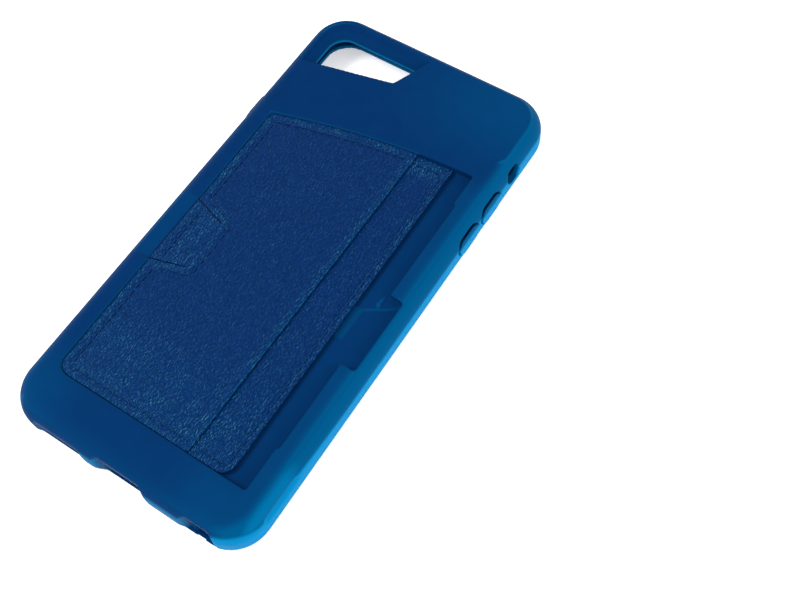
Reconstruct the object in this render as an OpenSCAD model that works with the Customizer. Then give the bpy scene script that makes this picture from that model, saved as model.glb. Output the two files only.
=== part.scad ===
/* [Phone] */
// Width of the phone that the case holds
phone_w = 77.8; // [77:0.1:79]
// Length of the phone
phone_l = 158.1; // [157:0.1:160]
// Thickness of the phone
phone_t = 7.1; // [6.9:0.1:7.3]
// Corner radius of the phone, seen from the back
phone_corner_r = 9.5; // [8:0.5:10]
// Gap between the phone and the shell on every side
phone_gap = 0.2; // [0.1:0.05:0.3]

/* [Shell] */
// Thickness of the side walls
wall = 2.3; // [2.2:0.1:2.6]
// Overall thickness of the case
case_h = 12.8; // [12.6:0.1:13.2]
// Corner radius of the case, seen from the back
corner_r = 12; // [11.5:0.5:13]
// Rounding of the back edge along the sides
back_edge_r = 6.5; // [5.5:0.1:6.6]
// How far the raised top stands back from the side walls
raised_inset = 2.9; // [2.4:0.1:3.4]
// Rounding of the raised top's own edge
raised_edge_r = 1; // [0.6:0.1:1.4]
// Rounding of the front edge
front_edge_r = 3; // [2.5:0.1:3.2]
// Thickness of the front lip that holds the phone in
lip_t = 1.2; // [1:0.1:1.4]
// How far the front lip reaches over the phone
lip_reach = 1.6; // [1.2:0.1:2]
// Thickness of the back around the camera window
window_t = 0.9; // [0.8:0.1:1.1]

/* [Wallet recess] */
// Half width of the recess
recess_x = 33; // [32.5:0.1:33.2]
// Lower end of the recess
recess_bottom = -66.3; // [-68:0.1:-65]
// Height of the recess's top edge at its left and right corners
recess_top = [35, 46.5];
// How far the top edge bulges above the straight line between its corners
recess_bulge = 2.2; // [1.5:0.1:2.6]
// Height of the card floor above the front lip
floor_z = 9.9; // [9.8:0.1:10]
// Height of the ledge that the wallet is bonded to
ledge_z = 10.6; // [10.5:0.1:10.7]
// Width of that ledge
ledge_w = 5; // [4:0.5:6]
// Ends of the undercut that takes a card's long edge
slit_y = [-52.6, 35.4];
// Depth of the undercut beyond the lip's edge
slit_depth = 2.4; // [2:0.1:2.6]
// Thickness of the card lip above the undercut
card_lip_t = 1.1; // [1:0.1:1.2]
// Ends of the thumb notch in the card lip
notch_y = [-23.8, 0.7];
// Outer edge of the thumb notch
notch_x = 37.9; // [37:0.1:38]

/* [Leatherette] */
// Thickness of one leatherette panel
panel_t = 0.6; // [0.5:0.05:0.7]
// Thickness of a woven lining
lining_t = 0.2; // [0.15:0.05:0.2]
// Thickness of the bonding film
film_t = 0.1; // [0.05:0.05:0.1]
// Gap between the panels and the recess wall
panel_gap = 0.15; // [0.15:0.05:0.4]
// Free edge of the lower panel
card_edge_x = 26.4; // [25:0.1:27]
// Free edge of the upper panel
cash_edge_x = 14; // [12:0.1:16]

/* [Thumb tongue] */
// Height of the tongue's centre line on the case
tongue_y = -13.6; // [-15:0.1:-12]
// Hinge line at the tongue's root
tongue_root_x = -22; // [-23:0.1:-21]
// Half width of the tongue at its root and at its free end
tongue_half = [8.4, 11.6];
// Width of the slits beside the tongue
tongue_slit = 0.3; // [0.2:0.1:0.6]
// Gap at the tongue's root
root_gap = 0.15; // [0.1:0.05:0.2]

/* [Buttons] */
// Width of a button's outer pad, front to back
pad_w = 6; // [5.4:0.1:6.2]
// Thickness of that pad at the middle of the wall
pad_t = 0.9; // [0.8:0.1:1]
// Width of the plunger between the pad and the phone's own button
plunger_w = 3; // [2.6:0.1:3.4]
// How far a button stands out of the wall
button_proud = 0.35; // [0.2:0.05:0.5]
// Gap between a button and the wall
button_gap = 0.25; // [0.2:0.05:0.3]
// Ends of the volume up button
volume_up_y = [38, 48.8];
// Ends of the volume down button
volume_down_y = [25.4, 36.2];
// Ends of the power button
power_y = [31, 42];

/* [Stitching] */
// Thread diameter
thread_d = 0.45; // [0.4:0.05:0.5]
// Distance from one stitch to the next
stitch_pitch = 2.5; // [2.2:0.1:3]
// Length of thread that shows in one stitch
stitch_l = 1.9; // [1.6:0.1:2]
// Distance from the panel's edge to the border stitching
border_inset = 3; // [2.6:0.1:3.4]
// Distance from the lower panel's free edge to its stitching
card_edge_inset = 2; // [1.6:0.1:3]

/* [Hidden] */
$fn = 64;
eps = 0.01;
far = 100;

shell_colour = [0.02, 0.22, 0.45];
edge_colour = [0.03, 0.35, 0.6];
leather_colour = [0.04, 0.2, 0.4];
lining_colour = [0.03, 0.1, 0.25];
film_colour = [0.8, 0.85, 0.88];
thread_colour = [0.03, 0.15, 0.32];

case_w = phone_w + 2 * (phone_gap + wall);
end_wall_extra = 0.15;
case_l = phone_l + 2 * (phone_gap + wall + end_wall_extra);
phone_slack = 0.1;
cavity_top = lip_t + phone_t + phone_slack;
button_z = lip_t + phone_t / 2;
pad_z = button_z + 1.35;
button_travel = 0.5;
pad_slack = 0.1;
plunger_setback = 1.5;
window_z = cavity_top + window_t;

// Layers of the wallet, from the ledge up
lining_z = ledge_z + film_t;
card_panel_z = lining_z + lining_t;
cash_lining_z = card_panel_z + panel_t;
cash_panel_z = cash_lining_z + lining_t;
wallet_top = cash_panel_z + panel_t;

// How far the linings and the film stay back from the panels' edges, the panels' corner rounding,
// and how far the upper panel's free edge leans
lining_back = 0.1;
lining_edge_back = 0.6;
film_back = 0.3;
film_edge_back = 1.4;
panel_corner_r = 4;
cash_corner_r = 0.8;
cash_lean = 0.5;
tongue_lining_back = 0.2;

// Where the raised top's edge meets the left and the right side of the recess
raised_foot = [39.5, 50.5];

// Camera window: its inner corner, the foot of the raised back beside it, and the wall that runs up from there
window_corner = [-34, 73];
window_r = 6;
window_foot = [-6.5, 63.6];
window_slope = 0.226;
window_lean = 0.43;
funnel_run = 1.5;
funnel_top = 14;

// Scooped thumb rest in the card floor: its slanted side, and the corners of its flat part
scoop_z = 9.4;
scoop_x = [26.2, 28.9];
scoop_y = [-17.3, -5.9];
scoop_top = -0.2;
scoop_foot = -20.5;

// Room below the lower panel's rounded corner
corner_room = 6;

// Left rim, cut down level with the wallet beside the tongue
rim_cut_y = [-25.6, -1.4];
rim_cut_z = 12.1;

// Relief in the lower right side wall
relief_y = [-68.5, -56.5];
relief_r = 2.6;
relief_at = [43.1, 8.6];

// Cut-outs in the walls
mute_y = [53.2, 60];
mute_w = 5.2;
mute_z = 7;
port_w = 13;
port_h = 5.6;
speaker_x = [-28.5, -14.5];
speaker_h = 2.6;
jack_x = 27;
jack_r = 3.5;

// Hollows around the bottom cut-outs: ends at the back of the hollow, depth from the outside, lower end
port_hollow = [[-7, 7], 1.7, -1];
speaker_hollow = [[-29.4, -14], 0.7, -1];
jack_hollow = [[23, 30.6], 1.7, 1.6];
hollow_flare = 1.5;

// ---- outlines -------------------------------------------------------------------------------------------------

// Rectangle with round corners, centred on the origin
module round_rect(w, l, r) {
    square([w - 2 * r, l], center = true);
    square([w, l - 2 * r], center = true);
    for (sx = [-1, 1], sy = [-1, 1])
        translate([sx * (w / 2 - r), sy * (l / 2 - r)])
            circle(r);
}

// Slot with round ends along Y
module pill(y_range, w) {
    translate([-w / 2, y_range[0] + w / 2])
        square([w, y_range[1] - y_range[0] - w]);
    for (y = [y_range[0] + w / 2, y_range[1] - w / 2])
        translate([0, y])
            circle(w / 2);
}

// Points of a shallow arc from a to b that bulges to the left of the way from a to b
function arc_points(a, b, bulge, n = 12) =
    let (
        chord = norm(b - a),
        r = chord * chord / (8 * bulge) + bulge / 2,
        u = (b - a) / chord,
        side = [-u[1], u[0]],
        centre = (a + b) / 2 - side * (r - bulge),
        half = asin(chord / 2 / r)
    )
    [for (i = [0:n])
        let (t = -half + 2 * half * i / n)
        centre + r * (u * sin(t) + side * cos(t))];

// Points of a quarter round corner
function corner_points(c, r, from, n = 6) =
    [for (i = [0:n]) c + r * [cos(from + 90 * i / n), sin(from + 90 * i / n)]];

// Wallet outline inset from the recess wall, cut off at the right by a line
function wallet_points(inset, right_top, right_bottom, right_r) =
    let (
        x0 = -recess_x + inset,
        y0 = recess_bottom + inset,
        a = [-recess_x, recess_top[0]],
        b = [recess_x, recess_top[1]],
        top = [for (p = arc_points(a, b, recess_bulge)) p - [0, inset]]
    )
    concat(
        [[right_top, edge_y(right_top, inset)]],
        [for (i = [len(top) - 1:-1:0]) if (top[i][0] < right_top - 1 && top[i][0] > x0 + 1) top[i]],
        [[x0, edge_y(x0, inset)]],
        corner_points([x0 + panel_corner_r, y0 + panel_corner_r], panel_corner_r, 180),
        corner_points([right_bottom - right_r, y0 + right_r], right_r, 270)
    );

// Height of the recess's top edge at x
function edge_y(x, inset) =
    let (
        a = [-recess_x, recess_top[0]],
        b = [recess_x, recess_top[1]],
        chord = norm(b - a),
        r = chord * chord / (8 * recess_bulge) + recess_bulge / 2,
        u = (b - a) / chord,
        side = [-u[1], u[0]],
        centre = (a + b) / 2 - side * (r - recess_bulge)
    )
    centre[1] + sqrt(r * r - pow(x - centre[0], 2)) - inset;

// Trapezoid of the thumb tongue, grown by a margin on its slanted sides
module tongue_shape(grow, x_from, x_to) {
    x_free = -recess_x + panel_gap;
    lean = (tongue_half[1] - tongue_half[0]) / (tongue_root_x - x_free);
    near = tongue_half[0] + lean * (tongue_root_x - x_to) + grow;
    away = tongue_half[0] + lean * (tongue_root_x - x_from) + grow;
    polygon([
        [x_to, tongue_y - near], [x_to, tongue_y + near],
        [x_from, tongue_y + away], [x_from, tongue_y - away]
    ]);
}

// ---- shell ----------------------------------------------------------------------------------------------------

// Half of a slab's section, from its middle out to its rounded edge
module edge_section(reach, h, back_r, front_r) {
    square([reach - back_r, h]);
    translate([0, front_r])
        square([reach, h - back_r - front_r]);
    square([reach - front_r, h / 2]);
    translate([reach - back_r, h - back_r])
        circle(back_r);
    translate([reach - front_r, front_r])
        circle(front_r);
}

// Half section laid both ways, to extrude along a side
module full_section(reach, h, back_r, front_r) {
    edge_section(reach, h, back_r, front_r);
    mirror([1, 0])
        edge_section(reach, h, back_r, front_r);
}

// Slab with round corners and rounded back and front edges
module slab(w, l, h, r, back_r, front_r) {
    translate([0, l / 2 - r, 0])
        rotate([90, 0, 0])
            linear_extrude(l - 2 * r)
                full_section(w / 2, h, back_r, front_r);
    translate([-w / 2 + r, 0, 0])
        rotate([90, 0, 90])
            linear_extrude(w - 2 * r)
                full_section(l / 2, h, back_r, front_r);
    for (sx = [-1, 1], sy = [-1, 1])
        translate([sx * (w / 2 - r), sy * (l / 2 - r), 0])
            rotate_extrude()
                intersection() {
                    edge_section(r, h, back_r, front_r);
                    square([r, h]);
                }
}

// Fuller top part of the back, whose edge runs in to the wallet recess on both sides
module raised_top() {
    w = case_w - 2 * raised_inset;
    l = case_l - 2 * raised_inset;
    intersection() {
        slab(w, l, case_h, corner_r - raised_inset, raised_edge_r, raised_edge_r);
        translate([0, 0, case_h / 2])
            linear_extrude(case_h)
                polygon([
                    [-far, far], [far, far], [far, raised_foot[1] + 6.5], [w / 2, raised_foot[1] + 6.5],
                    [recess_x, raised_foot[1]], [-recess_x, raised_foot[0]],
                    [-w / 2, raised_foot[0] + 6.5], [-far, raised_foot[0] + 6.5]
                ]);
    }
}

// Ground plan of the lowered camera corner
module camera_corner_shape() {
    foot = window_foot;
    polygon([
        foot,
        [foot[0] + window_lean * (far - foot[1]), far],
        [-far, far],
        [-far, foot[1] - window_slope * (far + foot[0])]
    ]);
}

// Bevel that falls from the rim to the camera window
module camera_funnel() {
    rise = funnel_top - window_z;
    run = funnel_run * rise;
    corner = window_corner + [window_r, -window_r];
    translate([corner[0], corner[1], window_z])
        cylinder(h = rise, r1 = window_r, r2 = window_r + run);
    translate([corner[0], corner[1], 0])
        rotate([90, 0, 0])
            linear_extrude(40)
                polygon([
                    [-window_r, window_z], [-window_r - run, funnel_top], [40, funnel_top], [40, window_z]
                ]);
    translate([corner[0], corner[1], 0])
        rotate([90, 0, 90])
            linear_extrude(40)
                polygon([
                    [window_r, window_z], [window_r + run, funnel_top], [-40, funnel_top], [-40, window_z]
                ]);
}

// Opening that the phone's camera looks through, with the bevel above it
module camera_cut() {
    corner = window_corner + [window_r, -window_r];
    intersection() {
        linear_extrude(far)
            camera_corner_shape();
        union() {
            camera_funnel();
            translate([0, 0, lip_t + phone_t / 2])
                linear_extrude(case_h)
                    union() {
                        translate(corner)
                            circle(window_r);
                        translate([corner[0] - window_r, corner[1] - 40])
                            square([40 + window_r, 40]);
                        translate([corner[0], corner[1] - 40])
                            square([40, 40 + window_r]);
                    }
        }
    }
}

// Space for the phone, and the opening in the front lip
module phone_cut() {
    translate([0, 0, lip_t])
        slab(phone_w + 2 * phone_gap, phone_l + 2 * phone_gap, cavity_top - lip_t, phone_corner_r + phone_gap, 3, 3);
    translate([0, 0, -1])
        linear_extrude(lip_t + 4)
            round_rect(phone_w - 2 * lip_reach, phone_l - 2 * lip_reach, phone_corner_r - lip_reach);
}

// Wallet recess down to the ledge, the deeper card floor, the undercut, the thumb notch and scoop
module wallet_cut() {
    translate([0, 0, ledge_z])
        linear_extrude(case_h)
            polygon(wallet_points(0, recess_x, recess_x, 0.5));
    // Card floor: open to the right of the ledge, and under the tongue as far as the left wall
    translate([0, 0, floor_z])
        linear_extrude(case_h)
            union() {
                translate([-recess_x + ledge_w, slit_y[0]])
                    square([2 * recess_x - ledge_w, slit_y[1] - slit_y[0]]);
                translate([-recess_x, tongue_y - tongue_half[1] - 1])
                    square([ledge_w + 1, 2 * tongue_half[1] + 2]);
                intersection() {
                    polygon(wallet_points(0, recess_x, recess_x, 0.5));
                    union() {
                        translate([card_edge_x - 1, -far])
                            square([far, 2 * far]);
                        translate([card_edge_x - corner_room, recess_bottom])
                            square(corner_room);
                    }
                }
            }
    // Undercut, which also moves the lip's edge out a little
    translate([recess_x - eps, slit_y[0], floor_z])
        cube([0.8 + slit_depth, slit_y[1] - slit_y[0], case_h - card_lip_t - floor_z]);
    translate([recess_x - eps, slit_y[0], floor_z])
        cube([0.8, slit_y[1] - slit_y[0], case_h]);
    // Thumb notch in the card lip
    translate([0, 0, floor_z])
        linear_extrude(case_h)
            union() {
                translate([recess_x - 1, notch_y[0] + 1])
                    square([notch_x - recess_x + 1, notch_y[1] - notch_y[0] - 2]);
                translate([recess_x - 1, notch_y[0]])
                    square([notch_x - recess_x, notch_y[1] - notch_y[0]]);
                for (y = [notch_y[0] + 1, notch_y[1] - 1])
                    translate([notch_x - 1, y])
                        circle(1);
            }
    // Scoop in the floor, with a slanted side next to the panel
    translate([0, scoop_y[1], 0])
        rotate([90, 0, 0])
            linear_extrude(scoop_y[1] - scoop_y[0])
                polygon([
                    [scoop_x[0], floor_z], [scoop_x[1], scoop_z], [recess_x, scoop_z],
                    [recess_x, floor_z + 1], [scoop_x[0], floor_z + 1]
                ]);
    translate([0, 0, scoop_z])
        linear_extrude(1)
            polygon([
                [scoop_x[1], scoop_y[0]], [recess_x, scoop_foot], [notch_x, scoop_foot],
                [notch_x, scoop_top], [scoop_x[1], scoop_y[1]]
            ]);
}

// Cap openings, mute slot and bottom cut-outs
module wall_cuts() {
    for (y = [volume_up_y, volume_down_y])
        button_hole(1, y);
    button_hole(-1, power_y);
    translate([case_w / 2 - wall - phone_gap, 0, mute_z])
        rotate([0, 90, 0])
            linear_extrude(2 * wall)
                pill(mute_y, mute_w);
    translate([0, -case_l / 2 + 2 * wall, button_z])
        rotate([90, 0, 0])
            linear_extrude(3 * wall)
                union() {
                    rotate(90)
                        pill([-port_w / 2, port_w / 2], port_h);
                    rotate(-90)
                        pill(speaker_x, speaker_h);
                    translate([jack_x, 0])
                        circle(jack_r);
                }
    for (hollow = [port_hollow, speaker_hollow, jack_hollow])
        wall_hollow(hollow[0], hollow[1], hollow[2]);
}

// Hollow in the bottom wall, wider towards the outside
module wall_hollow(x_range, depth, foot) {
    back = -case_l / 2 + depth;
    spread = hollow_flare * (depth + 1);
    translate([0, 0, foot])
        linear_extrude(case_h + 2)
            polygon([
                [x_range[0], back], [x_range[0] - spread, back - depth - 1],
                [x_range[1] + spread, back - depth - 1], [x_range[1], back]
            ]);
}

// Pocket for one button's pad and the hole for its plunger, in the right (1) or left (-1) wall
module button_hole(side, y_range) {
    mirror([side < 0 ? 1 : 0, 0, 0])
        union() {
            translate([case_w / 2 - pad_t - button_travel - pad_slack, 0, pad_z])
                rotate([0, 90, 0])
                    linear_extrude(2 * wall)
                        pill([y_range[0] - button_gap, y_range[1] + button_gap], pad_w + 2 * button_gap);
            translate([case_w / 2 - 2 * wall, 0, button_z])
                rotate([0, 90, 0])
                    linear_extrude(2 * wall)
                        pill(plunger_range(y_range, -button_gap), plunger_w + 2 * button_gap);
        }
}

// Ends of a button's plunger, moved in by a margin
function plunger_range(y_range, margin) =
    [y_range[0] + plunger_setback + margin, y_range[1] - plunger_setback - margin];

// Level cut in the left rim, and the relief in the right wall
module rim_cuts() {
    translate([-case_w / 2 - 1, rim_cut_y[0], rim_cut_z])
        cube([case_w / 2 - recess_x + 1 + eps, rim_cut_y[1] - rim_cut_y[0], case_h]);
    translate([relief_at[0], relief_y[1], relief_at[1]])
        rotate([90, 0, 0])
            cylinder(h = relief_y[1] - relief_y[0], r = relief_r);
    for (y = relief_y)
        translate([relief_at[0], y, relief_at[1]])
            sphere(relief_r);
}

module shell() {
    color(shell_colour)
        difference() {
            union() {
                slab(case_w, case_l, case_h, corner_r, back_edge_r, front_edge_r);
                raised_top();
            }
            phone_cut();
            camera_cut();
            wallet_cut();
            wall_cuts();
            rim_cuts();
        }
}

// ---- buttons --------------------------------------------------------------------------------------------------

// Moulded pad that follows the wall's rounding, with its plunger, in the right (1) or left (-1) wall
module button_cap(side, y_range) {
    color(edge_colour)
        mirror([side < 0 ? 1 : 0, 0, 0])
            union() {
                intersection() {
                    translate([0, y_range[1] + 1, -button_proud])
                        rotate([90, 0, 0])
                            linear_extrude(y_range[1] - y_range[0] + 2)
                                edge_section(case_w / 2 + button_proud, case_h + 2 * button_proud,
                                    back_edge_r + button_proud, front_edge_r + button_proud);
                    translate([case_w / 2 - pad_t, 0, pad_z])
                        rotate([0, 90, 0])
                            linear_extrude(2 * pad_t)
                                pill(y_range, pad_w);
                }
                translate([case_w / 2 - wall + pad_slack, 0, button_z])
                    rotate([0, 90, 0])
                        linear_extrude(wall - pad_t)
                            pill(plunger_range(y_range, 0), plunger_w);
            }
}

module volume_up_button() {
    button_cap(1, volume_up_y);
}

module volume_down_button() {
    button_cap(1, volume_down_y);
}

module power_button() {
    button_cap(-1, power_y);
}

// ---- wallet ---------------------------------------------------------------------------------------------------

// Space that the tongue and its slits take out of every layer, out to the left edge
module tongue_hole() {
    tongue_shape(tongue_slit, -recess_x - 1, tongue_root_x + root_gap);
}

// One layer of the wallet, with its right edge at the given x, less the tongue
module wallet_layer(z, t, inset, edge_top, edge_bottom, edge_r) {
    translate([0, 0, z])
        linear_extrude(t)
            difference() {
                polygon(wallet_points(inset, edge_top, edge_bottom, edge_r));
                tongue_hole();
            }
}

module bonding_film() {
    color(film_colour)
        translate([0, 0, ledge_z])
            linear_extrude(film_t)
                difference() {
                    polygon(wallet_points(panel_gap + film_back, card_edge_x - film_edge_back,
                        card_edge_x - film_edge_back, panel_corner_r - 1));
                    translate([-recess_x + ledge_w, slit_y[0]])
                        square([2 * recess_x, slit_y[1] - slit_y[0]]);
                    translate([-far, tongue_y - tongue_half[1] - 1])
                        square([far, 2 * tongue_half[1] + 2]);
                }
}

module card_pocket_lining() {
    color(lining_colour)
        wallet_layer(lining_z, lining_t, panel_gap + lining_back, card_edge_x - lining_edge_back,
            card_edge_x - lining_edge_back, panel_corner_r - lining_back);
}

module card_pocket_panel() {
    color(leather_colour)
        wallet_layer(card_panel_z, panel_t, panel_gap, card_edge_x, card_edge_x, panel_corner_r);
}

module cash_pocket_lining() {
    color(lining_colour)
        wallet_layer(cash_lining_z, lining_t, panel_gap + lining_back, cash_edge_x + cash_lean - lining_edge_back,
            cash_edge_x - cash_lean - lining_edge_back, cash_corner_r);
}

module cash_pocket_panel() {
    color(leather_colour)
        wallet_layer(cash_panel_z, panel_t, panel_gap, cash_edge_x + cash_lean, cash_edge_x - cash_lean,
            cash_corner_r);
}

module thumb_tongue() {
    color(leather_colour)
        translate([0, 0, card_panel_z])
            linear_extrude(wallet_top - card_panel_z)
                tongue_shape(0, -recess_x + panel_gap, tongue_root_x - root_gap);
}

module tongue_lining() {
    color(lining_colour)
        translate([0, 0, lining_z])
            linear_extrude(lining_t)
                tongue_shape(-tongue_lining_back, -recess_x + panel_gap + tongue_lining_back,
                    tongue_root_x - root_gap - tongue_lining_back);
}

// ---- stitching ------------------------------------------------------------------------------------------------

// Thread of one stitch, lying on top of a panel at z, a third of it pressed into the surface
module stitch(at, angle, z) {
    translate([at[0], at[1], z + thread_d / 6])
        rotate([0, 90, angle])
            translate([0, 0, -stitch_l / 2])
                cylinder(h = stitch_l, d = thread_d, $fn = 16);
}

// Straight row of stitches from a to b
module stitch_row(a, b, z) {
    n = floor(norm(b - a) / stitch_pitch);
    angle = atan2(b[1] - a[1], b[0] - a[0]);
    for (i = [0:n - 1])
        stitch(a + (b - a) * (i + 0.5) / n, angle, z);
}

// Clear space between a row and a slit or a free edge, space left where two rows meet, and places where rows turn
row_clear = 1.6;
row_meet = 1;
row_turn = 0.6;
border_left = -recess_x + border_inset;
border_bottom = recess_bottom + border_inset;
tongue_out = tongue_slit + row_clear;
tongue_in_x = tongue_root_x + border_inset;

module border_stitching() {
    a = [border_left, tongue_y + tongue_half[1] + tongue_out + row_turn];
    b = [border_left, tongue_y - tongue_half[1] - tongue_out - row_turn];
    top_left = [border_left, edge_y(border_left, border_inset)];
    right = cash_edge_x - row_clear;
    n = floor((right - border_left) / stitch_pitch);
    step = (right - border_left) / n;
    color(thread_colour) {
        stitch_row(a, top_left - [0, row_meet], wallet_top);
        stitch_row([border_left, border_bottom + row_meet], b, wallet_top);
        stitch_row([border_left + row_meet, border_bottom], [right, border_bottom], wallet_top);
        for (i = [0:n - 1]) {
            x = border_left + (i + 0.5) * step;
            rise = edge_y(x + 1, 0) - edge_y(x - 1, 0);
            stitch([x, edge_y(x, border_inset)], atan2(rise, 2), wallet_top);
        }
    }
}

module tongue_stitching() {
    near = tongue_half[0] + tongue_out;
    away = tongue_half[1] + tongue_out;
    color(thread_colour)
        for (s = [-1, 1]) {
            stitch_row([border_left + 2 * row_turn, tongue_y + s * (away - row_turn)],
                [tongue_in_x - row_turn, tongue_y + s * near], wallet_top);
            stitch_row([tongue_in_x, tongue_y], [tongue_in_x, tongue_y + s * (near - row_turn)], wallet_top);
        }
}

module tongue_end_stitching() {
    reach = tongue_half[1] - row_clear;
    color(thread_colour)
        stitch_row([border_left, tongue_y - reach], [border_left, tongue_y + reach], wallet_top);
}

module card_edge_stitching() {
    x = card_edge_x - card_edge_inset;
    start = cash_edge_x + row_clear;
    last = x - row_meet;
    top = edge_y(x, border_inset);
    color(thread_colour) {
        stitch_row([x, border_bottom + row_meet], [x, top - row_meet], cash_lining_z);
        stitch_row([start, border_bottom], [last, border_bottom], cash_lining_z);
        stitch_row([start, edge_y(start, border_inset)], [last, edge_y(last, border_inset)], cash_lining_z);
    }
}

shell();
volume_up_button();
volume_down_button();
power_button();
bonding_film();
card_pocket_lining();
card_pocket_panel();
cash_pocket_lining();
cash_pocket_panel();
thumb_tongue();
tongue_lining();
border_stitching();
tongue_stitching();
tongue_end_stitching();
card_edge_stitching();
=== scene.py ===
import math

import bmesh
import bpy
import numpy as np
from mathutils import Matrix, Vector
from mathutils.geometry import delaunay_2d_cdt


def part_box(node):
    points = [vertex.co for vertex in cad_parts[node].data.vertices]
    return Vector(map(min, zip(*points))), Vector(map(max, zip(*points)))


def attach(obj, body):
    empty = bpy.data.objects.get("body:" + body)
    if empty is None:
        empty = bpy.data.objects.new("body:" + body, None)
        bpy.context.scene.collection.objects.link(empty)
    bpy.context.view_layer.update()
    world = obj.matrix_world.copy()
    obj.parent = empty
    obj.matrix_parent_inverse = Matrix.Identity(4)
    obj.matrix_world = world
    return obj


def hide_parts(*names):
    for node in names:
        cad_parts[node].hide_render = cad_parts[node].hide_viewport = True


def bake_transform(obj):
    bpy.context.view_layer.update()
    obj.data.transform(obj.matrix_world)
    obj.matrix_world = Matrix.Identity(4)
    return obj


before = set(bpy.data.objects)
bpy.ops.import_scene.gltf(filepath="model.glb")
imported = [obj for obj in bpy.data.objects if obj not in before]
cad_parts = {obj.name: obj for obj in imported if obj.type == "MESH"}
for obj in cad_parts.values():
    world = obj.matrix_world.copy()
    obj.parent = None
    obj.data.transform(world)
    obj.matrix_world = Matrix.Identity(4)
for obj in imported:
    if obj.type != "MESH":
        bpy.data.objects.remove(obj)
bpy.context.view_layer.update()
MM = 0.001


# ---- numbers the looks are built from, in millimetres -----------------------------------------------------------

SHELL_VOXEL = 0.36            # meshing step of the moulding
BUTTON_VOXEL = 0.16
LEATHER_STEP = 0.3
LEATHER_EDGE_R = 0.16
GRAIN_CELL = (0.8, 1.35)      # width and length of a pebble of the leather
GRAIN_LEAN = math.radians(25)
GRAIN_HEIGHT = 0.05
EDGE_RINGS = (0.07, 0.17)     # distances of the rings of points that shape a sheet's rounded edge
LOWER_RING = 0.12             # the same for its plain underside
LOWER_STEP = 2.5
LINING_STEP = 0.8
LINING_EDGE_R = 0.05
STITCH_GROOVE = (0.2, 0.7)    # depth and half width of the groove that a stitch row pulls into the leather
STITCH_HOLE = (0.08, 0.4)     # depth and half width of the dimple at a needle hole
THREAD_R = 0.19
SKIN = 0.02                   # how far a sheet's top lies under its CAD face
CASH_SEED, CARD_SEED = 21, 22
TONGUE_ROOT_X = -22.0
BACK_EDGE_R = 6.5
CORNER_R = 12
BACK_Z = 11                   # the case's back lies above this height
LIP_Z = 11.8                  # and the top of the card lip above this one
POCKET_FLOOR_Z = (9.1, 10.3)


# ---- small geometry helpers -------------------------------------------------------------------------------------

def low_high(node):
    """Lowest and highest corner of a CAD node, in millimetres."""
    low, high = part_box(node)
    return np.array(low) / MM, np.array(high) / MM


def merged(node):
    """A CAD node's mesh as a bmesh with its split corners joined."""
    bm = bmesh.new()
    bm.from_mesh(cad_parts[node].data)
    bmesh.ops.remove_doubles(bm, verts=bm.verts, dist=1e-6)
    return bm


def new_piece(name, verts_mm, faces):
    """An object from points in millimetres and faces."""
    mesh = bpy.data.meshes.new(name)
    mesh.from_pydata((np.asarray(verts_mm, float) * MM).tolist(), [], faces)
    mesh.validate()
    mesh.polygons.foreach_set("use_smooth", [True] * len(mesh.polygons))
    mesh.update()
    piece = bpy.data.objects.new(name, mesh)
    bpy.context.scene.collection.objects.link(piece)
    return piece


def coords(piece):
    """A piece's points, in millimetres."""
    co = np.zeros(len(piece.data.vertices) * 3)
    piece.data.vertices.foreach_get("co", co)
    return co.reshape(-1, 3) / MM


def set_coords(piece, co):
    """Move a piece's points, given in millimetres."""
    piece.data.vertices.foreach_set("co", (co * MM).ravel())
    piece.data.update()


def smoothstep(low, high, value):
    """0 at low, 1 at high, and a soft S between them. High may be the smaller one."""
    t = np.clip((value - low) / (high - low), 0, 1)
    return t * t * (3 - 2 * t)


def lattice(x, y, cell, seed):
    """Smooth noise from -1 to 1 on a square lattice of the given cell."""
    table = np.random.default_rng(seed).uniform(-1, 1, (97, 97))
    u, v = x / cell + 1000, y / cell + 1000
    i, j = np.floor(u).astype(int), np.floor(v).astype(int)
    s, t = smoothstep(0, 1, u - i), smoothstep(0, 1, v - j)
    near = table[i % 97, j % 97] * (1 - s) + table[(i + 1) % 97, j % 97] * s
    far = table[i % 97, (j + 1) % 97] * (1 - s) + table[(i + 1) % 97, (j + 1) % 97] * s
    return near * (1 - t) + far * t


def pebbles(x, y, seed):
    """Height from 0 to 1 of a leather grain: rounded cells, longer one way, with creases between them."""
    table = np.random.default_rng(seed).uniform(0.08, 0.92, (89, 89, 2))
    x, y = x + 0.5 * lattice(x, y, 2.6, seed + 1), y + 0.5 * lattice(x, y, 2.6, seed + 2)
    u = (x * math.cos(GRAIN_LEAN) - y * math.sin(GRAIN_LEAN)) / GRAIN_CELL[0] + 1000
    v = (x * math.sin(GRAIN_LEAN) + y * math.cos(GRAIN_LEAN)) / GRAIN_CELL[1] + 1000
    i, j = np.floor(u).astype(int), np.floor(v).astype(int)
    nearest, second = np.full(u.shape, 9.0), np.full(u.shape, 9.0)
    for di in (-1, 0, 1):
        for dj in (-1, 0, 1):
            spot = table[(i + di) % 89, (j + dj) % 89]
            d = np.hypot(i + di + spot[..., 0] - u, j + dj + spot[..., 1] - v)
            second = np.minimum(second, np.maximum(nearest, d))
            nearest = np.minimum(nearest, d)
    return smoothstep(0.0, 0.42, second - nearest)


def to_segments(points, starts, ends):
    """Distance from each point to the nearest of the segments."""
    best = np.full(len(points), 1e9)
    for a, b in zip(starts, ends):
        along = b - a
        t = np.clip(((points - a) @ along) / max(along @ along, 1e-12), 0, 1)
        best = np.minimum(best, np.hypot(*(points - a - t[:, None] * along).T))
    return best


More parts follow.
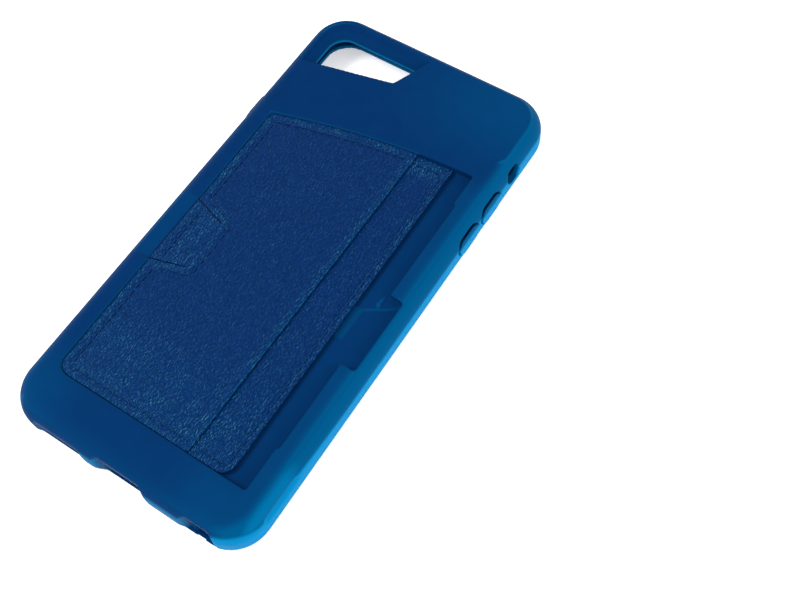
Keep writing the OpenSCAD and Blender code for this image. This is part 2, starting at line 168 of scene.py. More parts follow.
def inside(points, outline):
    """Which of the points lie inside the outline."""
    found = np.zeros(len(points), bool)
    for a, b in zip(outline, np.roll(outline, -1, 0)):
        crosses = (a[1] > points[:, 1]) != (b[1] > points[:, 1])
        rise = b[1] - a[1] if abs(b[1] - a[1]) > 1e-12 else 1e-12
        found ^= crosses & (points[:, 0] < (b[0] - a[0]) * (points[:, 1] - a[1]) / rise + a[0])
    return found


def to_points(points, spots):
    """Distance from each point to the nearest of the spots."""
    best = np.full(len(points), 1e9)
    for spot in spots:
        best = np.minimum(best, np.hypot(*(points - spot).T))
    return best


def closed(outline):
    """Start and end of each side of a closed outline."""
    return outline, np.roll(outline, -1, 0)


_, case_high = low_high("shell")
case_half, case_top = case_high[:2], case_high[2]


# ---- outlines and layers of the wallet --------------------------------------------------------------------------

def top_outline(node):
    """Outline of a flat CAD layer's upper face, counter-clockwise, in millimetres."""
    bm = merged(node)
    top = max(v.co.z for v in bm.verts)
    faces = {f for f in bm.faces if all(abs(v.co.z - top) < 1e-6 for v in f.verts)}
    following = {}
    for face in faces:
        for loop in face.loops:
            if sum(f in faces for f in loop.edge.link_faces) == 1:
                following[loop.vert] = loop.link_loop_next.vert
    start = next(iter(following))
    outline, vert = [start], following[start]
    while vert != start:
        outline.append(vert)
        vert = following[vert]
    points = np.array([[v.co.x, v.co.y] for v in outline]) / MM
    bm.free()
    return points


def spaced(outline, step):
    """The outline with points no further apart than the step."""
    out = []
    for a, b in zip(outline, np.roll(outline, -1, 0)):
        n = max(1, math.ceil(np.hypot(*(b - a)) / step))
        out += [a + (b - a) * k / n for k in range(n)]
    return np.array(out)


def inner_ring(ring, outline, offset):
    """The outline's points moved inwards, without those that would come too close to another side."""
    ahead, behind = np.roll(ring, -1, 0), np.roll(ring, 1, 0)
    along = ahead - behind
    along /= np.maximum(np.hypot(*along.T), 1e-9)[:, None]
    moved = ring + offset * np.stack([-along[:, 1], along[:, 0]], 1)
    return moved[to_segments(moved, *closed(outline)) > 0.93 * offset]


def filled(ring, extra):
    """Points and triangles that fill the ring through the extra points, and each point's place on the ring or -1."""
    loop = list(range(len(ring)))
    spots = [Vector(p) for p in np.concatenate([ring, extra]).tolist()]
    verts, _, faces, origins, _, _ = delaunay_2d_cdt(spots, [], [loop], 1, 1e-6, True)
    on_ring = [min([k for k in origin if k < len(ring)], default=-1) for origin in origins]
    spots = np.array([[v.x, v.y] for v in verts])
    a, b, c = (spots[[f[k] for f in faces]] for k in range(3))
    size = np.abs((b - a)[:, 0] * (c - a)[:, 1] - (b - a)[:, 1] * (c - a)[:, 0])
    kept = (size > 1e-4) & inside((a + b + c) / 3, ring)
    return spots, [f for f, keep in zip(faces, kept) if keep], on_ring


def grid_inside(outline, step, margin):
    """Points of a triangular grid inside the outline, further from it than the margin."""
    low, high = outline.min(0), outline.max(0)
    xs, ys = np.arange(low[0], high[0], step), np.arange(low[1], high[1], step * 0.866)
    x, y = np.meshgrid(xs, ys)
    x = x + (np.arange(len(ys)) % 2)[:, None] * step / 2
    points = np.stack([x.ravel(), y.ravel()], 1)
    points = points[inside(points, outline)]
    return points[to_segments(points, *closed(outline)) > margin]


def layer(name, outline, step, top, thickness, edge_r, open_x=None):
    """A closed sheet: an upper surface top(points, edge distance), a plain lower one, and a rounded edge.
    The stretch of the outline that lies along X = open_x isn't rounded: there the sheet goes on in another piece."""
    ring = spaced(outline, step)
    starts, ends = closed(outline)
    if open_x is not None:
        rounded = (np.abs(starts[:, 0] - open_x) > 1e-6) | (np.abs(ends[:, 0] - open_x) > 1e-6)
        starts, ends = starts[rounded], ends[rounded]
    rings = [inner_ring(ring, outline, r) for r in EDGE_RINGS]
    fine = np.concatenate(rings + [grid_inside(outline, step, 0.24 + 0.45 * step)])
    upper, upper_faces, upper_ring = filled(ring, fine)
    rough = np.concatenate([inner_ring(ring, outline, LOWER_RING), grid_inside(outline, LOWER_STEP, 1.2)])
    lower, lower_faces, lower_ring = filled(ring, rough)

    d_upper = to_segments(upper, starts, ends)
    drop = edge_r - np.sqrt(np.maximum(edge_r ** 2 - np.maximum(edge_r - d_upper, 0) ** 2, 0))
    z_upper = top(upper, d_upper) - drop
    z_lower = top(lower, np.full(len(lower), 9.0)) - thickness

    rim = {of_ring: k for k, of_ring in enumerate(upper_ring) if of_ring >= 0}
    index, verts = [], [np.array([p[0], p[1], z]) for p, z in zip(upper, z_upper)]
    for p, z, of_ring in zip(lower, z_lower, lower_ring):
        shared = rim.get(of_ring)
        if shared is None:
            verts.append(np.array([p[0], p[1], z]))
            shared = len(verts) - 1
        index.append(shared)
    faces = [tuple(f) for f in upper_faces] + [tuple(index[k] for k in reversed(f)) for f in lower_faces]
    piece = new_piece(name, verts, faces)
    if open_x is not None:
        at_x = np.abs(coords(piece)[:, 0] - open_x) < 1e-4
        for edge in piece.data.edges:
            edge.use_edge_sharp = bool(at_x[edge.vertices[0]] and at_x[edge.vertices[1]])
    return piece


# ---- stitches ---------------------------------------------------------------------------------------------------

def stitches_of(node):
    """(centre, unit direction, length) of each stitch of a CAD stitching node, in millimetres."""
    bm = merged(node)
    bm.verts.ensure_lookup_table()
    seen, found = set(), []
    for vert in bm.verts:
        if vert in seen:
            continue
        part, queue = [], [vert]
        seen.add(vert)
        while queue:
            v = queue.pop()
            part.append(v)
            for e in v.link_edges:
                other = e.other_vert(v)
                if other not in seen:
                    seen.add(other)
                    queue.append(other)
        co = np.array([v.co for v in part]) / MM
        centre = (co.min(0) + co.max(0)) / 2
        _, _, axes = np.linalg.svd(co - co.mean(0))
        reach = (co - centre) @ axes[0]
        found.append((centre, axes[0], reach.max() - reach.min()))
    bm.free()
    return found


def thread_piece(name, node, surface):
    """Twisted thread stitches that rise out of the leather and dive back in at both ends."""
    sides, rings = 10, 13
    verts, faces = [], []
    for centre, along, length in stitches_of(node):
        side = np.array([-along[1], along[0], 0.0])
        side /= np.linalg.norm(side)
        up = np.array([0.0, 0.0, 1.0])
        base = len(verts)
        for k in range(rings):
            t = -1 + 2 * k / (rings - 1)
            rise = 0.1 - 0.42 * abs(t) ** 3.2
            spot = centre + along * t * length * 0.54
            ground = surface(np.array([spot[:2]]))[0]
            spot[2] = ground + rise
            for j in range(sides):
                a = 2 * math.pi * j / sides
                ply = 1 + 0.16 * math.cos(2 * a - 7.5 * t)
                r = THREAD_R * ply * (1 - 0.25 * abs(t) ** 4)
                verts.append(spot + r * (side * math.cos(a) + up * math.sin(a) * 0.8))
        for k in range(rings - 1):
            for j in range(sides):
                a, b = base + k * sides + j, base + k * sides + (j + 1) % sides
                faces.append((a, b, b + sides, a + sides))
        faces.append(tuple(base + j for j in reversed(range(sides))))
        faces.append(tuple(base + (rings - 1) * sides + j for j in range(sides)))
    return new_piece(name, verts, faces)


# ---- materials --------------------------------------------------------------------------------------------------

class Nodes:
    """A short way to write a material's node tree."""

    def __init__(self, name):
        self.material = bpy.data.materials.new(name)
        self.material.use_nodes = True
        self.tree = self.material.node_tree
        self.shader = self.tree.nodes["Principled BSDF"]

    def add(self, kind, values=(), **settings):
        """A shader node of the kind, with values or links for its inputs."""
        node = self.tree.nodes.new("ShaderNode" + kind)
        for key, value in settings.items():
            setattr(node, key, value)
        for key, value in dict(values).items():
            self.plug(value, node.inputs[key])
        return node

    def plug(self, value, socket):
        """Link an output to the socket, or set the socket to a plain value."""
        if isinstance(value, bpy.types.NodeSocket):
            self.tree.links.new(value, socket)
        else:
            socket.default_value = value

    def set(self, **values):
        """Plug values into the main shader."""
        for key, value in values.items():
            self.plug(value, self.shader.inputs[key.replace("_", " ")])

    def position(self):
        """Each point's place in the part's own frame, in metres."""
        return self.add("TexCoord").outputs["Object"]

    def noise(self, scale, detail=2.0, roughness=0.5):
        """Noise with a given number of cells in a metre."""
        return self.add("TexNoise", {"Vector": self.position(), "Scale": scale, "Detail": detail,
                                     "Roughness": roughness}).outputs["Fac"]

    def ramp(self, fac, *stops):
        """Stops are (place, grey level or colour)."""
        node = self.add("ValToRGB", {"Fac": fac})
        ramp = node.color_ramp
        while len(ramp.elements) < len(stops):
            ramp.elements.new(0.5)
        for element, (at, colour) in zip(ramp.elements, stops):
            element.position = at
            element.color = (*colour, 1) if isinstance(colour, tuple) else (colour, colour, colour, 1)
        return node.outputs["Color"]

    def mix(self, fac, a, b):
        """Colour a where fac is 0, and b where it is 1."""
        node = self.add("Mix", data_type="RGBA")
        self.plug(fac, node.inputs["Factor"])
        self.plug(a if isinstance(a, bpy.types.NodeSocket) else (*a, 1), node.inputs["A"])
        self.plug(b if isinstance(b, bpy.types.NodeSocket) else (*b, 1), node.inputs["B"])
        return node.outputs["Result"]

    def math(self, operation, a, b=0.0):
        """Arithmetic on two values."""
        node = self.add("Math", operation=operation)
        self.plug(a, node.inputs[0])
        self.plug(b, node.inputs[1])
        return node.outputs[0]

    def bump(self, height, distance, strength=1.0, normal=None):
        """A normal roughened by a height, on top of another normal if given."""
        node = self.add("Bump", {"Height": height, "Distance": distance, "Strength": strength})
        if normal:
            self.plug(normal, node.inputs["Normal"])
        return node.outputs["Normal"]


BLUE_GLOSS = (0.03, 0.4, 0.9, 1)
TPU_DEEP = (0.0014, 0.0225, 0.094)
# painted light: the next colour stands for light on walls facing right and on lit patches, the one after it for a
# glow of light shining through thin edges
TPU_PAINTED_LIGHT = (0.0001, 0.068, 0.178)
TPU_BACKLIT_GLOW = (0.0005, 0.18, 0.4)


def tpu_material(name):
    """Soft-touch moulded TPU: deep blue where it is thick, lighter with painted light on walls that face right and
    on lit patches, and brighter and bluer towards its thin edges with a painted glow of light shining through from
    behind.
    """
    m = Nodes(name)
    thin = m.add("Attribute", attribute_name="thin").outputs["Fac"]
    side = m.add("Attribute", attribute_name="side").outputs["Fac"]
    cloud = m.ramp(m.noise(160.0, 4.0, 0.6), (0.35, 0.0), (0.65, 1.0))
    deep = m.mix(cloud, [c * 0.96 for c in TPU_DEEP], [c * 1.04 for c in TPU_DEEP])
    # painted light and painted glow mixed over the deep blue
    colour = m.mix(thin, m.mix(side, deep, TPU_PAINTED_LIGHT), TPU_BACKLIT_GLOW)
    speck = m.noise(5200.0, 2.0)
    satin = m.noise(900.0, 3.0)
    m.set(Base_Color=colour, Roughness=m.ramp(m.noise(240.0, 3.0), (0.35, 0.42), (0.7, 0.5)),
          Normal=m.bump(speck, 0.00002, 0.6, m.bump(satin, 0.00002, 0.4)))
    m.shader.inputs["IOR"].default_value = 1.06
    m.shader.inputs["Specular Tint"].default_value = BLUE_GLOSS
    return m.material


def crooked(m, place):
    """A place moved about by a slow noise, so that a pattern read there isn't regular."""
    warp = m.add("TexNoise", {"Vector": place, "Scale": 420.0, "Detail": 2.0}).outputs["Color"]
    return m.add("VectorMath", {0: warp, 1: (0.0011, 0.0011, 0.0), 2: place}, operation="MULTIPLY_ADD").outputs[0]


def leaning(m, place, squeeze):
    """A place turned to the grain's lean, and squeezed along it so that the cells come out long."""
    turn = {"Vector": place, "Rotation": (0, 0, GRAIN_LEAN), "Scale": (1.0, squeeze, 1.0)}
    return m.add("Mapping", turn).outputs[0]


def grain_at(m, shift):
    """Height of the fine grain at a small distance from each point, for the light on one flank of its ridges."""
    place = m.add("VectorMath", {0: m.position(), 1: shift}, operation="ADD").outputs[0]
    grain = {"Vector": leaning(m, crooked(m, place), 0.45), "Scale": 2100.0, "Detail": 2.0}
    return m.add("TexNoise", grain).outputs["Fac"]


def leather_material(name):
    """Pebbled leatherette: long creased cells and fine pores, semi-matt, with painted shade in the creases, a
    painted sheen where it is worked, a painted highlight on the cash panel's free edge, and small teal glints
    painted onto the crests.
    """
    m = Nodes(name)
    moved = crooked(m, m.position())
    cells = m.add("TexVoronoi", {"Vector": leaning(m, moved, 0.55), "Scale": 1500.0}, feature="DISTANCE_TO_EDGE")
    small = m.add("TexVoronoi", {"Vector": moved, "Scale": 2900.0}, feature="DISTANCE_TO_EDGE")
    pebble = m.ramp(cells.outputs["Distance"], (0.0, 0.0), (0.22, 0.75), (0.5, 1.0))
    pore = m.ramp(small.outputs["Distance"], (0.0, 0.0), (0.3, 1.0))
    height = m.math("ADD", m.math("MULTIPLY", pebble, 0.7), m.math("MULTIPLY", pore, 0.3))
    tone = m.ramp(m.noise(90.0, 4.0, 0.6), (0.3, 0.0), (0.7, 1.0))
    worn_and_sheen = m.add("Attribute", attribute_name="worn_and_sheen").outputs["Fac"]
    rim = m.add("Attribute", attribute_name="rim").outputs["Fac"]
    top = m.mix(tone, (0.001, 0.0178, 0.1), (0.0014, 0.0212, 0.115))
    # painted sheen: lighter where the leather is worked; painted highlight: lighter still along the cash panel's
    # free edge
    top = m.mix(rim, m.mix(worn_and_sheen, top, (0.0012, 0.031, 0.122)), (0.001, 0.07, 0.19))
    # painted shade: darker in the creases between the pebbles
    colour = m.mix(pebble, (0.0006, 0.0095, 0.06), top)
    # painted glints: a lighter teal on one flank of the fine grain, more often where worked and in patches
    slope = m.math("SUBTRACT", grain_at(m, (0.0001, 0.0, 0.0)), grain_at(m, (-0.0001, 0.0, 0.0)))
    patches = m.ramp(m.noise(330.0, 3.0, 0.6), (0.36, 0.3), (0.66, 1.0))
    often = m.math("MULTIPLY", m.math("ADD", m.math("MULTIPLY", worn_and_sheen, 1.0), 0.34), patches)
    glint = m.math("MULTIPLY", m.ramp(slope, (0.07, 0.0), (0.2, 1.0)), often)
    colour = m.mix(glint, colour, (0.035, 0.15, 0.24))
    rough = m.ramp(height, (0.0, 0.6), (1.0, 0.35))
    m.set(Base_Color=colour, Roughness=rough,
          Normal=m.bump(height, 0.00009, 0.8, m.bump(m.noise(7000.0, 2.0), 0.00002, 0.4)))
    m.shader.inputs["IOR"].default_value = 1.25
    m.shader.inputs["Specular Tint"].default_value = (0.08, 0.55, 0.85, 1)
    return m.material


def lining_material(name):
    """Fine plain-weave lining."""
    m = Nodes(name)
    yarns = {"Vector": m.position(), "Scale": 700.0, "Distortion": 0.4, "Detail": 1.0}
    weave = m.math("MULTIPLY", *(m.add("TexWave", yarns, bands_direction=way, wave_type="BANDS").outputs["Fac"]
                                 for way in ("X", "Y")))
    colour = m.mix(weave, (0.002, 0.012, 0.03), (0.006, 0.035, 0.08))
    m.set(Base_Color=colour, Roughness=m.ramp(weave, (0.0, 0.9), (1.0, 0.75)), Normal=m.bump(weave, 0.00006, 0.8))
    m.shader.inputs["Sheen Weight"].default_value = 0.2
    return m.material


def thread_material(name):
    """Twisted polyester thread."""
    m = Nodes(name)
    fibre = m.noise(4000.0, 3.0)
    colour = m.mix(m.ramp(fibre, (0.3, 0.0), (0.7, 1.0)), (0.001, 0.0175, 0.086), (0.0018, 0.024, 0.106))
    m.set(Base_Color=colour, Roughness=0.5, Normal=m.bump(fibre, 0.00004, 0.6))
    m.shader.inputs["Specular Tint"].default_value = BLUE_GLOSS
    m.shader.inputs["Sheen Weight"].default_value = 0.02
    return m.material


def film_material(name):
    """Milky adhesive film."""
    m = Nodes(name)
    cloud = m.noise(300.0, 3.0)
    m.set(Base_Color=m.mix(cloud, (0.5, 0.55, 0.58), (0.7, 0.74, 0.76)), Roughness=0.45,
          Normal=m.bump(cloud, 0.00003, 0.5))
    return m.material


def floor_material(name):
    """Plain pale paper, lit a little from within so that it stays white."""
    m = Nodes(name)
    grain = m.noise(60.0, 3.0)
    m.set(Base_Color=m.mix(grain, (0.86, 0.86, 0.87), (0.88, 0.88, 0.88)), Roughness=0.8,
          Emission_Color=(1.0, 0.99, 0.97, 1), Emission_Strength=0.45)
    return m.material


# ---- shell ------------------------------------------------------------------------------------------------------

def remeshed(name, node, voxel, rounds):
    """A soft-edged copy of a CAD node: an even mesh with every edge eased, as a moulding's edges are."""
    bm = merged(node)
    mesh = bpy.data.meshes.new(name)
    bm.to_mesh(mesh)
    bm.free()
    piece = bpy.data.objects.new(name, mesh)
    bpy.context.scene.collection.objects.link(piece)
    remesh = piece.modifiers.new("remesh", "REMESH")
    remesh.mode = "VOXEL"
    remesh.voxel_size = voxel * MM
    remesh.use_smooth_shade = True
    ease = piece.modifiers.new("ease", "SMOOTH")
    ease.factor = 0.5
    ease.iterations = rounds
    evaluated = piece.evaluated_get(bpy.context.evaluated_depsgraph_get())
    piece.data = bpy.data.meshes.new_from_object(evaluated)
    piece.modifiers.clear()
    piece.data.name = name
    return piece


def normals_of(piece):
    """The normal at each of a piece's points."""
    n = np.zeros(len(piece.data.vertices) * 3)
    piece.data.vertices.foreach_get("normal", n)
    return n.reshape(-1, 3)


def attribute(piece, name, values):
    """Store a value at each of a piece's points, for its material to read."""
    stored = piece.data.attributes.new(name, "FLOAT", "POINT")
    stored.data.foreach_set("value", np.asarray(values, np.float32))


def rounding(past):
    """Height of the case's rounded back edge at a distance past the start of the rounding."""
    reach = np.clip(past, 0, BACK_EDGE_R)
    return case_top - BACK_EDGE_R + np.sqrt(BACK_EDGE_R ** 2 - reach ** 2)


def outside_inset(x, y):
    """How far a point of the plan lies inside the case's outline."""
    across, along = np.abs(x) - (case_half[0] - CORNER_R), np.abs(y) - (case_half[1] - CORNER_R)
    corner = (across > 0) & (along > 0)
    return np.where(corner, CORNER_R - np.hypot(across, along), CORNER_R - np.maximum(across, along))


def shape_back(co, n):
    """The moulded back's softer forms: hollow, crease, eased raised top, fading thumb scoop."""
    x, y, z = co.T
    # a shallow hollow above the panels and a crease beside the camera window
    up = smoothstep(0.6, 0.95, n[:, 2]) * smoothstep(case_top - 0.9, case_top - 0.3, z)
    valley = y - (54.5 + 0.1 * x)
    hollow = 0.16 * np.exp(-(valley / 6.5) ** 2)
    crease_x = 1.2 + 0.27 * (y - 65)
    crease = 0.12 * smoothstep(0.0, 1.6, x - crease_x) * smoothstep(60, 68, y)
    z = z - up * (hollow + crease)
    # the raised top melts into the rounded edge, fully so down its left side
    past = BACK_EDGE_R - outside_inset(x, y)
    proud = np.maximum(z - rounding(past), 0) * (z > case_top - BACK_EDGE_R) * (y > 30)
    left_foot = smoothstep(-30, -34, x) * smoothstep(66, 54, y)
    z = z - proud * np.maximum(left_foot, 0.35)
    # the thumb scoop runs out along the pocket floor, and a small ramp meets its other end
    in_scoop = (x > 28.9) & (x < 37.9) & (y > -24) & (y < -14) & (z < 9.88) & (z > 9.2) & (n[:, 2] > 0.5)
    z = np.where(in_scoop, z + (9.9 - z) * smoothstep(-15.5, -20.3, y), z)
    ramp = smoothstep(-4.2, -2.4, y) * smoothstep(0.9, -0.6, y)
    ramp = ramp * smoothstep(30.6, 32.2, x) * smoothstep(33.0, 32.3, x)
    z = z + 0.35 * ramp * ((z > 9.8) & (z < 10.1))
    return np.stack([x, y, z], 1)


# In plan: the fine ridge across the thumb notch, which gets a painted highlight, and the small lit facet beside it,
# which gets painted light
RIDGE = np.array([[28.9, -6.0], [32.3, -3.9], [34.3, -2.7], [37.5, -0.3]])
FACET = np.array([[31.9, 0.5], [31.0, -2.6], [32.4, -4.0]])


def tones(piece, co, n):
    """Where light is painted on the moulding, from 0 to 1: its brighter side colour as painted light on walls that
    face right and on lit patches, and a painted glow where it is thin and lit from behind.
    """
    x, y, z = co.T
    inset = outside_inset(x, y)
    drop = np.where(z > case_top - BACK_EDGE_R,
                    BACK_EDGE_R - np.sqrt(np.maximum(BACK_EDGE_R ** 2 - (z - case_top + BACK_EDGE_R) ** 2, 0)), 0)
    tilt = np.hypot(n[:, 0], n[:, 1])

    # painted light: the outer wall lighter by how far it faces right, and the flanks of the hollows in the bottom
    # wall
    outer = smoothstep(1.1, 0.3, inset - drop)
    lit = 0.12 + 0.88 * smoothstep(-0.05, 0.55, n[:, 0])
    hollow_flank = (y < -77) & (inset < 2.8) & (z < 11.6) & (np.abs(n[:, 0]) > 0.4)
    edge = np.maximum(outer, hollow_flank) * smoothstep(0.12, 0.75, tilt) * np.maximum(lit, 0.7 * hollow_flank)

    # painted light on the back: lighter ends of the raised top, card lip, foot of the case and cut left rim, and a
    # painted fill light along the panels' seam where its shade falls
    ends = 0.36 * smoothstep(40, 74, y) * smoothstep(-20, 36, x) + 0.08 * smoothstep(-60, -78, y)
    lip = 0.27 * smoothstep(31.5, 33.2, x) * smoothstep(52, 38, y)
    foot = 0.3 * smoothstep(-50, -76, y) * smoothstep(8, 34, np.abs(x + 4))
    rim_cut = 0.16 * (x < -33) * smoothstep(-26, -25, y) * smoothstep(-1, -2, y)
    near = (np.abs(x) < 36) & (np.abs(y + 12) < 60) & (z > 10.5)
    seam = np.zeros(len(co))
    seam[near] = 0.6 * smoothstep(0.5, 0.15, to_segments(co[near, :2], *closed(upper_outline)))

    # painted light on the pocket floor: its lit step beside the notch, a painted highlight along the ridge, the lit
    # facet, and a slightly lighter low floor
    sunk = (z > POCKET_FLOOR_Z[0]) & (z < POCKET_FLOOR_Z[1]) & (x > 22)
    strip = 0.34 * (x > 26.3) * (x < 28.8) * (y > -17.1) * (y < -6.1) * sunk * (z < 9.86)
    ridge = 0.45 * smoothstep(0.45, 0.15, to_segments(co[:, :2], RIDGE[:-1], RIDGE[1:])) * sunk
    facet = 0.55 * inside(co[:, :2], FACET) * sunk
    low_floor = 0.06 * ((z > 9) & (z < BACK_Z))

    # painted light in the shaded insides of the mute slot and of the button pockets
    slot_wall = (x > 39.4) & (inset > 0.4) & (z > 3) & (z < 12) & (y > 20) & (y < 62)
    wall_inside = (0.5 + 0.35 * (y > 50)) * slot_wall

    on_back = z > BACK_Z
    # all of these are painted light, put into the side colour
    flat = np.max([ends * on_back, lip * (z > LIP_Z), foot * on_back, strip, ridge, facet, low_floor,
                   rim_cut * on_back, wall_inside, seam], axis=0)
    attribute(piece, "side", np.clip(np.maximum(edge, wall_inside) + flat * ((inset > 1) | (z > LIP_Z)), 0, 1))

    # a painted glow of light from behind where it is thin: the front part of the right wall, a patch at the lower
    # right, the camera window
    rise = 1.1 * smoothstep(-30, -62, y) + smoothstep(-70, -78, y) * smoothstep(24, 33, x)
    zone = np.maximum(smoothstep(30.5, 32.5, x), 0.5 * smoothstep(-16, -12, x) * (y < -76))
    thin = outer * smoothstep(8.2, 6.9, z - rise) * smoothstep(0.3, 0.8, tilt) * zone
    patch = 0.4 * outer * smoothstep(-51, -59, y) * smoothstep(37.5, 39.6, x) * smoothstep(8.4, 10.2, z)
    window_wall = (x < -3) & (y > 60) & (x > -40.5) & (z < 10.4)
    window = 0.6 * window_wall * smoothstep(1.4, 2.2, inset) * smoothstep(0.6, 0.95, tilt)
    attribute(piece, "thin", np.clip(np.max([thin, patch, window], axis=0), 0, 1))


def mould_shell():
    """The case's moulding, with its soft forms and its tones of painted light and painted glow."""
    piece = remeshed("shell_moulding", "shell", SHELL_VOXEL, 5)
    n = normals_of(piece)
    set_coords(piece, shape_back(coords(piece), n))
    tones(piece, coords(piece), n)
    return piece


def narrow_back(cap, node):
    """Narrow the hidden back of a button's pad, so that it clears the soft corners of its pocket when pressed."""
    low, high = low_high(node)
    co = coords(cap)
    middle_y, middle_z = (low[1:] + high[1:]) / 2
    straight = (high[1] - low[1] - high[2] + low[2]) / 2
    axis_y = middle_y + np.clip(co[:, 1] - middle_y, -straight, straight)
    shrink = 0.11 * smoothstep(0.3, 0.8, case_half[0] - np.abs(co[:, 0]))
    co[:, 1] += (axis_y - co[:, 1]) * shrink
    co[:, 2] += (middle_z - co[:, 2]) * shrink
    set_coords(cap, co)


# ---- wallet -----------------------------------------------------------------------------------------------------

border = stitches_of("border_stitching") + stitches_of("tongue_stitching")
tongue_end = stitches_of("tongue_end_stitching")
card_edge = stitches_of("card_edge_stitching")
_, panel_high = low_high("cash_pocket_panel")
_, lower_high = low_high("card_pocket_panel")
tongue_low, tongue_high = low_high("thumb_tongue")
tongue_y = (tongue_low[1] + tongue_high[1]) / 2
upper_outline = top_outline("cash_pocket_panel")


def joined(outline):
    """The outline with its stretch along the tongue's root moved onto the hinge line."""
    x, y = outline.T
    near = (np.abs(x - TONGUE_ROOT_X) < 0.4) & (y > tongue_low[1]) & (y < tongue_high[1])
    return np.stack([np.where(near, TONGUE_ROOT_X, x), y], 1)


def sag(p):
    """How far the empty pocket sinks, and its slow waves."""
    x, y = p.T
    middle = smoothstep(-31, -16, x) * smoothstep(-64, -48, y) * smoothstep(42, 26, y)
    return 0.2 * middle + 0.05 * lattice(x, y, 17, 11) * middle + 0.02 * lattice(x, y, 6, 12)


def sewn(p, rows):
    """How far stitches pull the leather down: a groove along the row and a dimple at each needle hole."""
    starts = [c[:2] - a[:2] * length / 2 for c, a, length in rows]
    ends = [c[:2] + a[:2] * length / 2 for c, a, length in rows]
    groove = STITCH_GROOVE[0] * np.exp(-(to_segments(p, starts, ends) / STITCH_GROOVE[1]) ** 2)
    hole = STITCH_HOLE[0] * np.exp(-(to_points(p, starts + ends) / STITCH_HOLE[1]) ** 2)
    return groove + hole


def wear_and_sheen(p, d, seed):
    """How worked the leather is, from 0 to 1: most in its folded borders, on the tongue and at the lower end. The
    card panel's strip outside the cash panel is more worked towards both ends. The same value places the painted
    sheen and glints of the leather's colour."""
    x, y = p.T
    border_band = np.exp(-((d - 1.2) / 1.1) ** 2)
    lower_end = 0.75 * smoothstep(-34, -58, y)
    lifted = 0.8 * smoothstep(-20.5, -24, x) * smoothstep(13, 10.5, np.abs(y - tongue_y))
    patch = 0.7 + 0.45 * lattice(x, y, 3.1, seed + 7)
    card_strip = (seed == CARD_SEED) * (0.4 * smoothstep(30, -60, y) + 1.3 * smoothstep(-9, -4, y - lower_high[1]))
    return np.clip(np.max([border_band, lower_end, lifted, card_strip], axis=0) * patch, 0, 1)


def leather_top(level, rows, seed, plain):
    """Height of a leatherette panel's upper surface; plain is its grain where it isn't worked."""
    def height(p, d):
        worked = wear_and_sheen(p, d, seed)
        grain = GRAIN_HEIGHT * (plain + 1.3 * worked) * (pebbles(p[:, 0], p[:, 1], seed) - 1)
        crumple = 0.05 * worked * lattice(p[:, 0], p[:, 1], 1.4, seed + 5)
        puff = 0.13 * np.exp(-((d - 1.2) / 0.9) ** 2) * smoothstep(0, 0.5, d)
        return level - sag(p) - sewn(p, rows) + grain + crumple + puff
    return height


def upper_surface(p):
    """Height of the upper panel under its threads."""
    return panel_high[2] - sag(p)


def lower_surface(p):
    """Height of the lower panel under its threads."""
    return lower_high[2] - sag(p)


def leather_layer(name, node, rows, seed, plain):
    """A leatherette sheet with its grain, sewn grooves and wear, the places of its painted sheen and of the cash
    panel's painted edge highlight, and its outline.
    """
    low, high = low_high(node)
    outline = joined(top_outline(node))
    top = leather_top(high[2] - SKIN, rows, seed, plain)
    piece = layer(name, outline, LEATHER_STEP, top, high[2] - low[2], LEATHER_EDGE_R, TONGUE_ROOT_X)
    p = coords(piece)[:, :2]
    d = to_segments(p, *closed(outline))
    # where the painted sheen and glints go, with the wear, and the painted highlight along the cash panel's free
    # edge
    attribute(piece, "worn_and_sheen", wear_and_sheen(p, d, seed))
    attribute(piece, "rim", smoothstep(0.42, 0.2, d) * (p[:, 0] > high[0] - 1.4) * (node == "cash_pocket_panel"))
    return piece, outline


def lining_layer(node):
    """A lining cloth that follows the panel above it, and its outline."""
    low, high = low_high(node)
    outline = top_outline(node)

    def top(p, d):
        return high[2] - sag(p) - SKIN
    return layer(node + "_cloth", outline, LINING_STEP, top, high[2] - low[2], LINING_EDGE_R), outline


def make_wallet():
    """The sheets and threads of the wallet, each standing for its CAD node."""
    leather = leather_material("pebbled_leatherette")
    lining = lining_material("woven_lining")
    thread = thread_material("sewing_thread")
    rows = border + tongue_end
    pieces, outlines = {}, {}
    for node, name, sewn_rows, seed, plain in (
            ("cash_pocket_panel", "cash_pocket_leather", rows, CASH_SEED, 0.4),
            ("card_pocket_panel", "card_pocket_leather", card_edge, CARD_SEED, 0.9),
            ("thumb_tongue", "thumb_tongue_leather", rows, CASH_SEED, 0.4)):
        pieces[node], outlines[node] = leather_layer(name, node, sewn_rows, seed, plain)
        pieces[node].data.materials.append(leather)
    for node in ("card_pocket_lining", "cash_pocket_lining", "tongue_lining"):
        pieces[node], outlines[node] = lining_layer(node)
        pieces[node].data.materials.append(lining)
    for node, surface in (("border_stitching", upper_surface), ("tongue_stitching", upper_surface),
                          ("tongue_end_stitching", upper_surface), ("card_edge_stitching", lower_surface)):
        pieces[node] = thread_piece(node + "_thread", node, surface)
        pieces[node].data.materials.append(thread)
    for node, piece in pieces.items():
        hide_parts(node)
        if node in ("thumb_tongue", "tongue_lining"):
            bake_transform(piece)
        else:
            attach(piece, "tongue" if node == "tongue_end_stitching" else "case")


# ---- shell, buttons, film ---------------------------------------------------------------------------------------

tpu = tpu_material("soft_touch_tpu")
shell = mould_shell()
shell.data.materials.append(tpu)
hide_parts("shell")
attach(shell, "case")

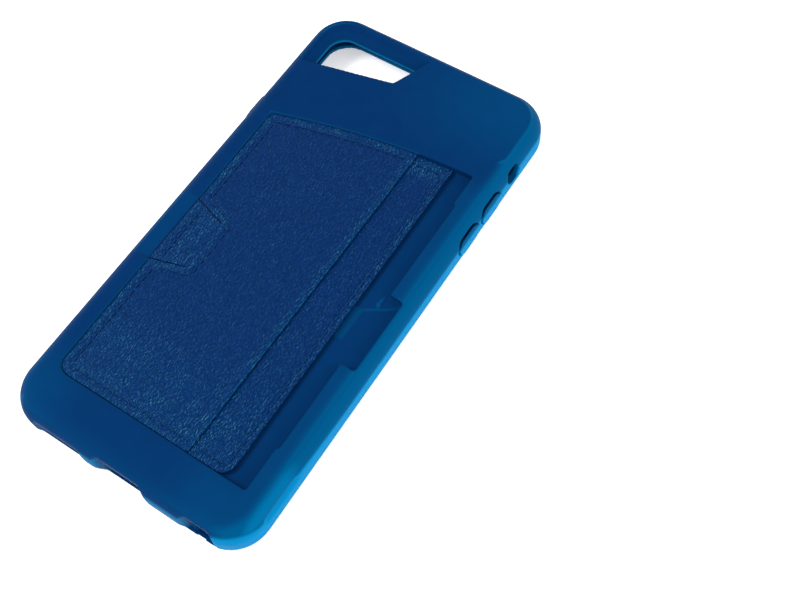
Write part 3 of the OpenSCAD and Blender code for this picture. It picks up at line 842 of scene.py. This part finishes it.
for body in ("volume_up", "volume_down", "power"):
    node = body + "_button"
    cap = remeshed(node + "_cap", node, BUTTON_VOXEL, 3)
    narrow_back(cap, node)
    # the same painted light and glow on the button caps
    tones(cap, coords(cap), normals_of(cap))
    cap.data.materials.append(tpu)
    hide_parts(node)
    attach(cap, body)

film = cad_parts["bonding_film"]
film.data.materials.clear()
film.data.materials.append(film_material("adhesive_film"))

make_wallet()


# ---- floor, lights, camera --------------------------------------------------------------------------------------

def make_floor():
    """A wide floor just under the case."""
    bpy.ops.mesh.primitive_plane_add(size=3.0, location=(0, 0, -0.00005))
    floor = bpy.context.object
    floor.name = "floor"
    floor.data.materials.append(floor_material("pale_floor"))


def area_light(name, place, size, power):
    """A square white light turned to the middle of the case."""
    light = bpy.data.lights.new(name, "AREA")
    light.shape = "SQUARE"
    light.size = size
    light.energy = power
    lamp = bpy.data.objects.new(name, light)
    lamp.location = place
    lamp.rotation_euler = (-Vector(place)).to_track_quat("-Z", "Y").to_euler()
    bpy.context.scene.collection.objects.link(lamp)


def make_studio():
    """Even white surroundings and two soft lights."""
    world = bpy.data.worlds.new("studio")
    world.use_nodes = True
    background = world.node_tree.nodes["Background"]
    background.inputs["Color"].default_value = (1, 1, 1, 1)
    background.inputs["Strength"].default_value = 0.95
    bpy.context.scene.world = world
    area_light("window", (-0.45, -0.3, 0.7), 0.3, 5.0)
    area_light("right_fill", (0.8, 0.05, 0.35), 0.5, 3.5)


def make_camera():
    """The photograph's camera: where it stands and how it is turned, in the part's own frame."""
    data = bpy.data.cameras.new("camera")
    data.sensor_width = 36
    data.lens = 48.09
    data.clip_start = 0.01
    camera = bpy.data.objects.new("camera", data)
    right = Vector((0.83678, 0.54468, -0.05585))
    down = Vector((0.46268, -0.75795, -0.45982))
    ahead = right.cross(down)
    turn = Matrix((right, -down, -ahead)).transposed()
    camera.matrix_world = Matrix.Translation(Vector((124.2, -106.2, 276.8)) * MM) @ turn.to_4x4()
    bpy.context.scene.collection.objects.link(camera)
    bpy.context.scene.camera = camera


make_floor()
make_studio()
make_camera()
bpy.context.scene.view_settings.view_transform = "Standard"
